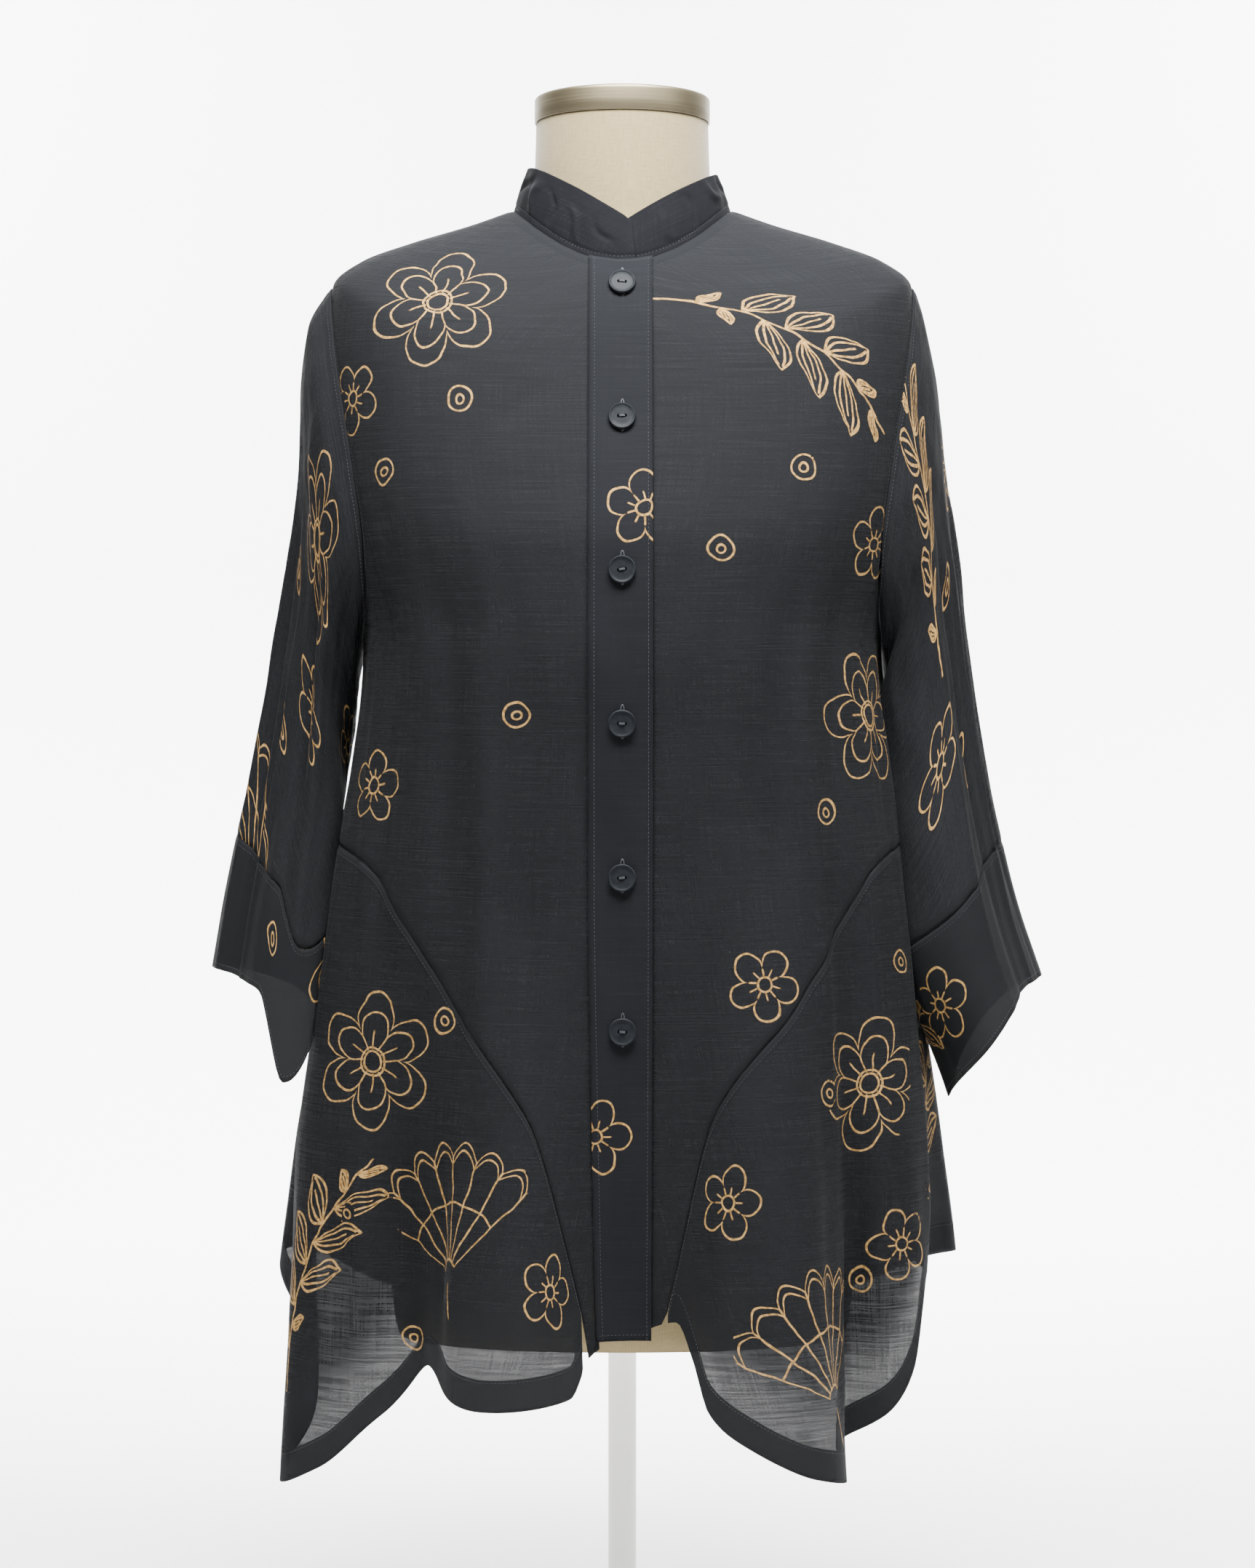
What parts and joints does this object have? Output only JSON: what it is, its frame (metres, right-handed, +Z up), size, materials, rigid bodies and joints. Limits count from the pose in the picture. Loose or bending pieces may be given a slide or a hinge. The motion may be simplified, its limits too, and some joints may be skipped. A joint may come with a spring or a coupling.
{
  "type": "button-up blouse on dress form",
  "caption": "Band-collar button-up blouse with wide three-quarter sleeves and a pointed, fluted hem, worn by a limbless dress form on a round stand.",
  "frame": {"origin": "centre of the stand's underside", "axes": "+Z up, -Y the way the blouse's front faces, +X towards the wearer's left sleeve"},
  "size_m": [0.5945, 0.3477, 1.1298],
  "materials": {
    "cloth": "semi-sheer slubbed linen and cotton with a fine gold line print",
    "band_cloth": "the same cloth, doubled",
    "button": "matte slate grey",
    "form_cover": "cream linen cover",
    "cap_metal": "brushed nickel",
    "stand_metal": "off-white powder coat"
  },
  "bodies": {
    "root": {"front_right": "cloth", "front_left": "cloth", "back": "cloth", "side_panel_right": "cloth", "side_panel_left": "cloth", "sleeve_right": "cloth", "sleeve_left": "cloth", "cuff_right": "cloth", "cuff_left": "cloth", "band_under": "band_cloth", "band_over": "band_cloth", "collar": "band_cloth", "button_1": "button", "button_2": "button", "button_3": "button", "button_4": "button", "button_5": "button", "button_6": "button", "form_torso": "form_cover", "neck_cap": "cap_metal", "stand_pole": "stand_metal", "stand_base": "stand_metal"}
  },
  "joints": []
}
